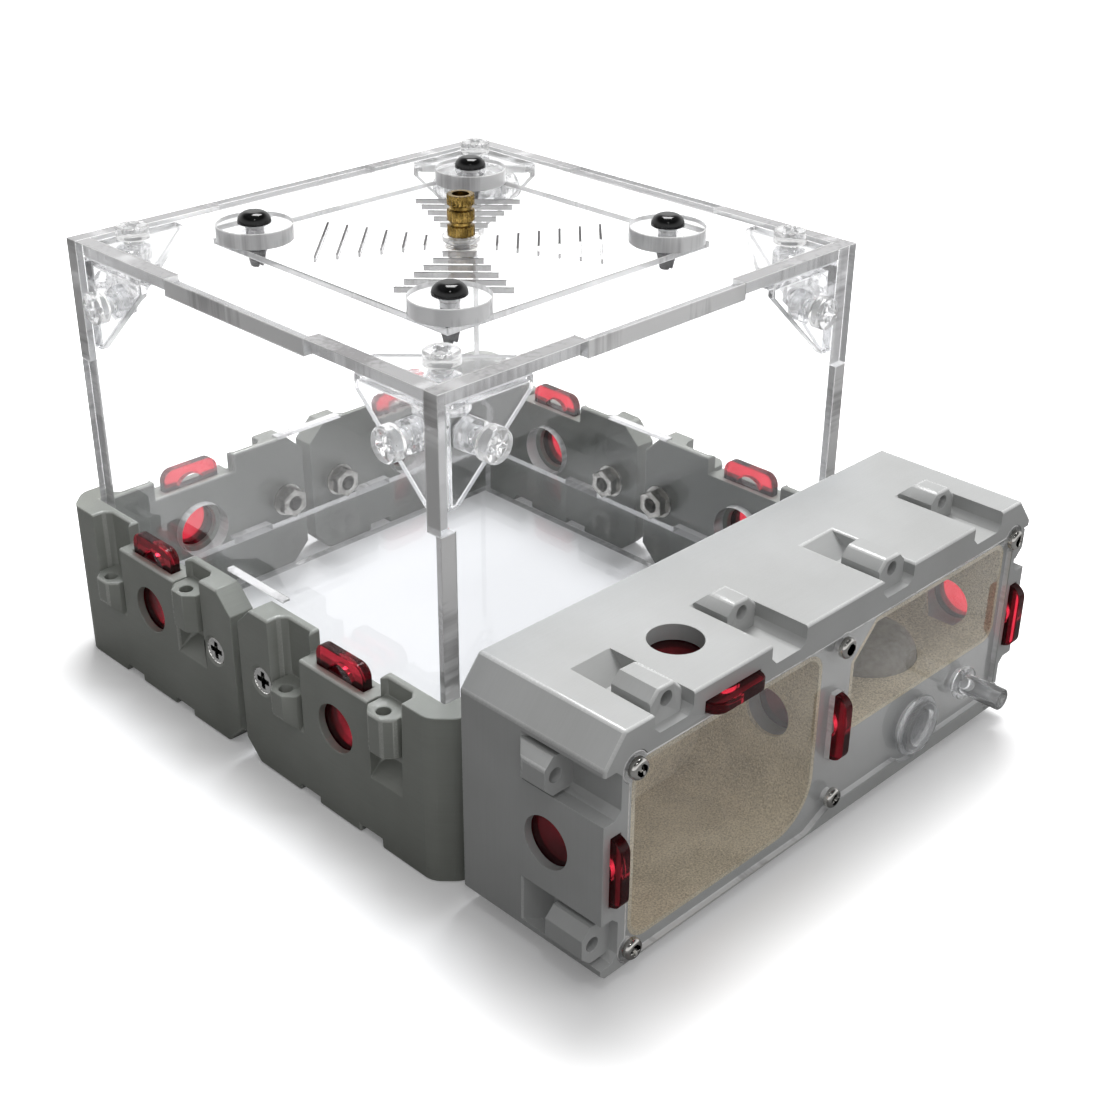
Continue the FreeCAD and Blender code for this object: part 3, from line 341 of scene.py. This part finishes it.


# ---- Module fasteners
# Eight M3 countersunk steel screws lie flush in the modules and pass the walls; inside, a washer
# and a nut draw each of them tight. The recess and the cone of a screw take a dark copy of the steel,
# a painted shade, and its face takes a pale copy, a painted light.
def turned_steel(name, dark, pale, rough):
    """Turned metal with slight wear."""
    finish, principled = new_finish(name)
    set_values(principled, {"Metallic": 1.0})
    wear = grain(finish, 500, detail=3)
    shade(finish, wear, dark, pale, principled.inputs["Base Color"])
    polish = grain(finish, 900, detail=2)
    join(finish, between(finish, polish, rough, rough + 0.08), principled.inputs["Roughness"])
    relief(finish, principled, grain(finish, 800, detail=0), 0.03, 0.00001)
    return finish


steel = turned_steel("plated_steel", (0.5, 0.49, 0.47), (0.62, 0.61, 0.585), 0.14)
pale_steel_painted_light = turned_steel("pale_steel_painted_light", (0.94, 0.93, 0.9), (0.99, 0.98, 0.96), 0.15)
dark_steel_painted_shade = turned_steel("dark_steel_painted_shade", (0.03, 0.03, 0.028), (0.08, 0.08, 0.075), 0.3)
dull_steel = turned_steel("dull_steel", (0.22, 0.215, 0.2), (0.46, 0.45, 0.43), 0.12)
# The face of a head lies less than head_sunk below the module's face.
steel_ease, screws_apart, head_sunk = 0.00008, 0.00014, 0.00043
screws = eased_copy("module_screws", "flush_steel_screws", "box", steel_ease, (pale_steel_painted_light, dark_steel_painted_shade),
                    apart=screws_apart)
# Faces sunk deeper than head_sunk take the dark copy of the steel: painted shade in the recess and cone.
for face in screws.data.polygons:
    face.material_index = out_of_module(face.center) < -head_sunk
for node, name in (("module_washers", "steel_washers"), ("module_nuts", "steel_nuts")):
    eased_copy(node, name, "box", steel_ease, (dull_steel,))


# ---- Sliding gates of the box
# Deep red clear acrylic plates with a half-moon for a fingernail. Each drops into its slot and
# shuts the port behind it.
def red_acrylic():
    """Clear acrylic of a deep red, a little cloudy."""
    finish, principled = new_finish("gate_acrylic")
    set_values(principled, {"IOR": 1.3, "Transmission Weight": 0.97})
    cloud = grain(finish, 260, detail=3)
    shade(finish, cloud, (0.42, 0.012, 0.026), (0.54, 0.028, 0.052), principled.inputs["Base Color"])
    join(finish, between(finish, grain(finish, 900, detail=3), 0.06, 0.16), principled.inputs["Roughness"])
    relief(finish, principled, grain(finish, 1300, detail=2), 0.07, 0.00002)
    lets_lamps_through(finish, principled, (0.3, 0.012, 0.02))
    return finish


gate_red = red_acrylic()
gate_ease, slight_apart = 0.00018, 0.00001
sides = ("front", "right", "back", "left")
for turn, side in enumerate(sides):
    for near in (sides[turn - 1], sides[(turn + 1) % 4]):
        node = "gate_%s_%s" % (side, near)
        eased_copy(node, "red_" + node, node + "_body", gate_ease, (gate_red,), apart=slight_apart)


# ---- Lid rim
# A frame of the same sheet, let into the tops of the walls by one tab on each side. The lift-off
# panel drops into it.
rim = eased_copy("lid_frame", "lid_rim_sheet", "box", sheet_ease, (sheet_face, edges_of[2]), 2, sheet_apart)


# ---- Corner brackets with their screws
# Clear moulded triangles under the lid rim tie it to the walls. Clear nylon pan head screws
# outside and nuts inside hold them.
# Reaches are measured from the corner of the inner walls and the rim's underside. What reaches beyond
# the first number of a pair ends at the second.
wall_inner, rim_under = 0.047, 0.081
tip_beyond, tip_reach = 0.0205, 0.018
end_beyond, end_wide = 0.0053, 0.0027
foot_beyond, foot_reach = 0.0235, 0.0174


def trim_tips(shape):
    """Draw a triangle's tips in, with narrower ends, and end its foot closer below the rim."""
    for vertex in shape.verts:
        place = vertex.co
        signs = [math.copysign(1, place.x), math.copysign(1, place.y - box_middle)]
        reach = [wall_inner - abs(place.x), wall_inner - abs(place.y - box_middle), rim_under - place.z]
        if max(reach[:2]) > tip_beyond:
            reach = [tip_reach if part > tip_beyond else end_wide if part > end_beyond else part
                     for part in reach]
        elif reach[2] > foot_beyond:
            reach[2] = foot_reach
        vertex.co = (signs[0] * (wall_inner - reach[0]), box_middle + signs[1] * (wall_inner - reach[1]),
                     rim_under - reach[2])


bracket_ease, clear_ease = 0.0002, 0.00012
bracket_clear = clear_plastic("bracket_clear", (0.92, 0.92, 0.925), haze=0.03, wave=0.00001, clear=0.97)
for corner in corners:
    bracket = eased_copy("bracket_" + corner, corner + "_bracket_clear", "box", bracket_ease,
                         (bracket_clear, bright_edge_painted_light), apart=sheet_apart, prepare=trim_tips)
    # The brackets' slanted faces take the paler edge copy, a painted light.
    for face in bracket.data.polygons:
        face.material_index = max(abs(part) for part in face.normal) < square_on

# Each screw's seat is the middle of its head's foot; an axis goes with it. Three screws hold a corner.
wall_outer, wall_screw, wall_screw_level = 0.05, 0.0401, 0.0736
lid_screw, lid_top = 0.0415, 0.084
pan_seats = []
for one, other in ((-1, -1), (-1, 1), (1, -1), (1, 1)):
    pan_seats += [
        (Vector((one * wall_outer, box_middle + other * wall_screw, wall_screw_level)), Vector((one, 0, 0))),
        (Vector((other * wall_screw, box_middle + one * wall_outer, wall_screw_level)), Vector((0, one, 0))),
        (Vector((one * lid_screw, box_middle + other * lid_screw, lid_top)), Vector((0, 0, 1)))]

# The drawn rounding of a head starts at the first two numbers, out and up from its seat; the new one
# starts at the next two. The bands hold the vertices of the drawn one.
out_drawn, up_drawn, out_new, up_new, squeeze = 0.00168, 0.00108, 0.0025, 0.0019, 0.379
out_band, up_band = (0.00166, 0.0031), (0.00107, 0.0025)


def square_heads(shape):
    """Draw the wide rounding of each head out to a 0.5 mm one, so that its top is flat."""
    for vertex in shape.verts:
        for seat, axis in pan_seats:
            up = (vertex.co - seat).dot(axis)
            around = vertex.co - seat - axis * up
            if up_band[0] < up < up_band[1] and out_band[0] < around.length < out_band[1]:
                out = out_new + (around.length - out_drawn) * squeeze
                vertex.co = seat + around.normalized() * out + axis * (up_new + (up - up_drawn) * squeeze)
                break


nylon = clear_plastic("clear_nylon", (0.97, 0.97, 0.965), haze=0.05, ior=1.42, wave=0.0001, clear=0.8)
eased_copy("bracket_screws", "nylon_pan_screws", "box", clear_ease, (nylon,), apart=sheet_apart,
                   prepare=square_heads)
eased_copy("bracket_nuts", "nylon_nuts", "box", clear_ease, (nylon,), apart=sheet_apart)


# ---- Lift-off panel with its four holding discs
# The slitted panel drops into the rim; a disc of sheet is riveted on each of its corners and
# rests on the rim.
# Each family of slits starts at slit_first from the middle, and slit_end is half of its first one's
# length. All slits lie within slit_field.
slit_count, slit_half, slit_field = 6, 0.0003, 0.0255
slit_first, slit_pitch = 0.0064, 0.00372
slit_end, slit_longer, end_margin = 0.003, 0.0014, 0.0001


def narrow_slits(shape):
    """Draw the two sides of each air slit together to 0.3 mm; the slits lie across the diagonals."""
    half = math.sqrt(0.5)
    for vertex in shape.verts:
        x, y = vertex.co.x, vertex.co.y - box_middle
        along, across = (x + y) * half, (y - x) * half
        for number in range(slit_count):
            place, end = slit_first + slit_pitch * number, slit_end + slit_longer * number + end_margin
            if abs(abs(abs(along) - place) - slit_half) < same_within and abs(across) < end:
                along = math.copysign(place + (abs(along) - place) * 0.5, along)
            elif abs(abs(abs(across) - place) - slit_half) < same_within and abs(along) < end:
                across = math.copysign(place + (abs(across) - place) * 0.5, across)
        vertex.co.x, vertex.co.y = (along - across) * half, box_middle + (along + across) * half


panel_ease = 0.00008
# The cut faces inside the narrow slits take a darker copy of the cut edge: painted shade in the slits.
slit_edge_painted_shade = cut_edge("slit_edge_painted_shade", 2, (0.3, 0.29, 0.29), (0.5, 0.49, 0.49), clear=0.2)
panel = eased_copy("lid_panel", "slit_panel_sheet", "lid", panel_ease,
                   (sheet_face, edges_of[2], slit_edge_painted_shade), 2, sheet_apart, prepare=narrow_slits)
# Cut faces within the slit field take the darker slit copy, a painted shade.
for face in panel.data.polygons:
    if face.material_index and max(abs(face.center.x), abs(face.center.y - box_middle)) < slit_field:
        face.material_index = 2
for corner in corners:
    disc = eased_copy("lid_disc_" + corner, corner + "_disc_sheet", "lid", sheet_ease,
                      (sheet_face, edges_of[2]), 2, sheet_apart)


# ---- Push rivets
# Glossy black nylon: a domed head above each disc, and a split shank that spreads below the panel.
# They hold the discs on the panel.
def black_nylon():
    """Glossy black plastic with a faint orange peel."""
    finish, principled = new_finish("black_nylon")
    set_values(principled, {"IOR": 1.42})
    wear = grain(finish, 500, detail=3)
    shade(finish, wear, (0.004, 0.004, 0.004), (0.011, 0.011, 0.012), principled.inputs["Base Color"])
    join(finish, between(finish, grain(finish, 1500, detail=2), 0.06, 0.14), principled.inputs["Roughness"])
    relief(finish, principled, grain(finish, 2600, detail=2), 0.15, 0.00002)
    return finish


rivet_ease = 0.0001
rivets = eased_copy("lid_rivets", "black_push_rivets", "lid", rivet_ease, (black_nylon(),),
                    apart=slight_apart)


# ---- Lift knob
# A knurled brass insert in the middle of the panel is the grip. It stands on a clear washer, and a
# screw from below holds it.
knob_ease, washer_ease = 0.00006, 0.0001
brass = turned_steel("aged_brass", (0.13, 0.082, 0.02), (0.36, 0.24, 0.07), 0.2)
eased_copy("lift_knob", "knurled_brass_knob", "lid", knob_ease, (brass,))
eased_copy("knob_washer", "clear_knob_washer", "lid", washer_ease, (nylon,), apart=slight_apart)
eased_copy("knob_screw", "steel_knob_screw", "lid", steel_ease, (steel,))


# ---- Nest body
# One block of lighter grey printed plastic, printed with its back down, so its layers stack
# from back to front. Two chambers and the water store are open in it.
nest_print = printed("nest_print", (0.42, 0.425, 0.42), (0.475, 0.482, 0.48), 1)
# The rounded edge strips take a paler, glossier copy of the print: the paler colour is a painted highlight
# along the edges, and the lower roughness is the glossier outer lines of the print.
nest_edge_painted_highlight = printed("nest_edge_painted_highlight", (0.55, 0.555, 0.55), (0.68, 0.685, 0.68), 1, matt=0.25)
nest_ease, nest_end, nest_top, nest_front = 0.00004, 0.055, 0.046, -0.06885
lug_back, lug_from, skin_deep = 0.0168, 0.05, 0.0005


def out_of_nest(place):
    """Tell how far a point stands out of the nest's end or of its top."""
    return abs(place.x) - nest_end if abs(place.x) > lug_from else place.z - nest_top


def on_nest_skin(place):
    """Tell whether a point lies in the nest's ends, its top or its foot."""
    return (abs(place.x) > nest_end - skin_deep or place.z > nest_top - skin_deep
            or place.z < skin_deep)


housing = eased_copy("nest_housing", "nest_body_print", "nest", nest_ease, (nest_print, nest_edge_painted_highlight),
                     broad=print_round, where=on_nest_skin,
                     prepare=lambda shape: slope_ends(shape, nest_front + lug_back, 1, out_of_nest))


# ---- Sand linings
# A coat of fine sand glued on the chamber walls, for the ants to grip. The linings are drawn with
# all that they need, so they only take their finish.
def sand():
    """Fine pale sand: grains of mixed tone in soft patches."""
    finish, principled = new_finish("fine_sand")
    set_values(principled, {"Specular IOR Level": 0.2})
    grains = grain(finish, 3200, detail=3, rough=0.7)
    patches = grain(finish, 110, detail=4)
    tone = weigh(finish, patches, 0.4, grains)
    shade(finish, tone, (0.44, 0.375, 0.265), (0.96, 0.86, 0.67), principled.inputs["Base Color"], 0.52, 0.84)
    join(finish, between(finish, grains, 0.75, 0.98), principled.inputs["Roughness"])
    relief(finish, principled, grains, 0.6, 0.00012)
    return finish


fine_sand = sand()
for side in ("left", "right"):
    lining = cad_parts["liner_" + side]
    lining.data.materials.clear()
    lining.data.materials.append(fine_sand)


# ---- Water dome
# A smooth porous casting on the right chamber's floor; its stem draws water from the store.
# The ants drink from its damp skin.
def porous_cast():
    """A fine porous casting, grey and nearly matt."""
    finish, principled = new_finish("porous_cast")
    set_values(principled, {"Specular IOR Level": 0.35})
    pores = grain(finish, 900, detail=5)
    shade(finish, pores, (0.24, 0.225, 0.2), (0.33, 0.31, 0.28), principled.inputs["Base Color"])
    join(finish, between(finish, grain(finish, 300, detail=3), 0.5, 0.72), principled.inputs["Roughness"])
    relief(finish, principled, grain(finish, 2600, detail=3), 0.35, 0.00006)
    return finish


dome_ease = 0.0001
eased_copy("water_wick", "porous_water_dome", "nest", dome_ease, (porous_cast(),))


# ---- Nest window
# A 2 mm clear cover let flush into the front, held by six small steel screws in round ears.
# It shuts both chambers and the store.
small_ease = 0.00006
window_face = clear_plastic("window_face", (0.975, 0.97, 0.965), haze=0.015, ior=1.25)
window = eased_copy("nest_cover", "clear_window_sheet", "nest", sheet_ease, (window_face, edges_of[1]), 1,
                    sheet_apart)
eased_copy("cover_screws", "small_steel_screws", "nest", small_ease, (steel,))


# ---- Gates of the nest
# The same red plates as on the box. They lie with their free end at the front and shut the nest's
# four passages.
for passage in ("left", "middle", "right", "top"):
    node = "nest_gate_" + passage
    eased_copy(node, "red_" + node, node + "_body", gate_ease, (gate_red,), apart=slight_apart)


# ---- Water plug and filling tube
# A translucent silicone plug with a dished rim and a thin seal shuts the store; beside it a
# clear tube with a collar takes a syringe.
def silicone():
    """Cloudy, translucent silicone with a soft gloss."""
    finish, principled = new_finish("clouded_silicone")
    set_values(principled, {"IOR": 1.35, "Transmission Weight": 0.78})
    cloud = grain(finish, 350, detail=3)
    shade(finish, cloud, (0.86, 0.865, 0.87), (0.95, 0.95, 0.955), principled.inputs["Base Color"])
    join(finish, between(finish, grain(finish, 500, detail=2), 0.1, 0.2), principled.inputs["Roughness"])
    relief(finish, principled, grain(finish, 700, detail=1), 0.08, 0.00002)
    lets_lamps_through(finish, principled, (0.7, 0.71, 0.72))
    return finish


clouded = silicone()
plug_ease, tube_ease = 0.0002, 0.00015
eased_copy("water_plug", "silicone_plug", "plug", plug_ease, (clouded,), apart=slight_apart)
eased_copy("plug_seal", "silicone_seal", "plug", clear_ease, (clouded,), apart=sheet_apart)
tube_clear = clear_plastic("tube_clear", (0.96, 0.965, 0.97), haze=0.06, ior=1.42, wave=0.00003, clear=0.88)
eased_copy("water_tube", "clear_filling_tube", "nest", tube_ease, (tube_clear,), apart=slight_apart)


# ---- Table and light
# A white table top under a square lamp, in a white tent that is dark over the set and brightest
# in front of it. A small lamp puts sparks on metal and nylon. Light that has bounced sees a darker
# table. The table has a glow of its own, weak near the set's footprint: that dimming is a painted
# shadow around the set, on top of its real cast shadow.
# The glow is dimmed over this patch and its soft rim around the set's footprint: a painted shadow.
painted_shadow_middle, painted_shadow_half = (0.002, 0.004, 0), (0.058, 0.073, 0)
glow_near, glow_far, glow_reach = 0.14, 0.85, 0.038
table_half, table_drop = 3.0, 0.0001


def table_top():
    """A white top; bounced light sees it darker, and glowing more the farther from the set, so that a painted
    shadow lies around the set.
    """
    finish, principled = new_finish("table_top")
    set_values(principled, {"Roughness": 0.85, "Specular IOR Level": 0.1, "Emission Color": (1, 1, 1, 1)})
    path, place = add(finish, "LightPath"), add(finish, "TexCoord")
    mirrored = add(finish, "Math", operation="SUBTRACT", use_clamp=True)
    bounced = add(finish, "Math", operation="MAXIMUM")
    tone, glow = add(finish, "Mix", data_type="RGBA"), add(finish, "Mix", {3: 0.0})
    tone.inputs[6].default_value = (0.9, 0.9, 0.905, 1)
    tone.inputs[7].default_value = (0.25, 0.25, 0.25, 1)
    join(finish, path.outputs["Is Glossy Ray"], mirrored.inputs[0])
    join(finish, path.outputs["Is Transmission Ray"], mirrored.inputs[1])
    join(finish, path.outputs["Is Diffuse Ray"], bounced.inputs[0])
    join(finish, mirrored.outputs[0], bounced.inputs[1])
    join(finish, bounced.outputs[0], tone.inputs[0])
    join(finish, tone.outputs[2], principled.inputs["Base Color"])
    # The steps lead from a place on the table to its distance from the set's footprint.
    steps = [add(finish, "VectorMath", {1: painted_shadow_middle}, operation="SUBTRACT"),
             add(finish, "VectorMath", operation="ABSOLUTE"),
             add(finish, "VectorMath", {1: painted_shadow_half}, operation="SUBTRACT"),
             add(finish, "VectorMath", {1: (0, 0, 0)}, operation="MAXIMUM"),
             add(finish, "VectorMath", operation="LENGTH")]
    out = place.outputs["Object"]
    for step in steps:
        join(finish, out, step.inputs[0])
        out = step.outputs[0]
    distance = steps[-1].outputs["Value"]
    join(finish, between(finish, distance, glow_near, glow_far, 0.0, glow_reach), glow.inputs[2])
    join(finish, bounced.outputs[0], glow.inputs[0])
    join(finish, glow.outputs[0], principled.inputs["Emission Strength"])
    return finish


shape = bmesh.new()
bmesh.ops.create_grid(shape, x_segments=4, y_segments=4, size=table_half)
top_mesh = bpy.data.meshes.new("table")
shape.to_mesh(top_mesh)
shape.free()
top_mesh.materials.append(table_top())
table = bpy.data.objects.new("table", top_mesh)
table.location.z = -table_drop
scene.collection.objects.link(table)


def hang_lamp(name, form, size, energy, place):
    """Hang an area lamp and point it at the middle of the set's foot."""
    lamp = bpy.data.lights.new(name, "AREA")
    lamp.shape, lamp.size, lamp.energy = form, size, energy
    stand = bpy.data.objects.new(name, lamp)
    stand.location = place
    stand.rotation_euler = (Vector((0, 0, 0)) - stand.location).to_track_quat("-Z", "Y").to_euler()
    scene.collection.objects.link(stand)


hang_lamp("overhead_lamp", "SQUARE", 0.45, 9.3, (0.32, 0.26, 0.93))
hang_lamp("spark_lamp", "DISK", 0.04, 0.14, (-0.2, -0.24, 0.5))

# Matt surfaces, mirror rays, rays through clear plastic and the camera each see the tent at their
# own strength.
tent_front = (0.42, -0.55, 0.72)
sky = bpy.data.worlds.new("sky")
sky.use_nodes = True
scene.world = sky
tent = sky.node_tree.nodes["Background"]
tent.inputs["Color"].default_value = (1, 1, 1, 1)
way, parts, path = add(sky, "TexCoord"), add(sky, "SeparateXYZ"), add(sky, "LightPath")
front = add(sky, "VectorMath", {1: tent_front}, operation="DOT_PRODUCT")
unseen, inside, strength = add(sky, "Mix"), add(sky, "Mix"), add(sky, "Mix", {3: 1.0})
join(sky, way.outputs["Generated"], parts.inputs[0])
join(sky, path.outputs["Is Glossy Ray"], unseen.inputs[0])
join(sky, way.outputs["Generated"], front.inputs[0])
join(sky, between(sky, front.outputs["Value"], 0.05, 0.76, -0.2, 1), unseen.inputs[2])
join(sky, between(sky, parts.outputs["Z"], 1.0, 0.06, 0.4, 0.7), unseen.inputs[3])
join(sky, path.outputs["Is Transmission Ray"], inside.inputs[0])
join(sky, unseen.outputs[0], inside.inputs[2])
join(sky, between(sky, parts.outputs["Z"], 1.0, 0.5, 0.4, 0.8), inside.inputs[3])
join(sky, path.outputs["Is Camera Ray"], strength.inputs[0])
join(sky, inside.outputs[0], strength.inputs[2])
join(sky, strength.outputs[0], tent.inputs["Strength"])

# Many layers of clear plastic lie behind each other.
scene.cycles.max_bounces = 24
scene.cycles.transmission_bounces = 24
scene.cycles.transparent_max_bounces = 32
scene.cycles.use_denoising = True
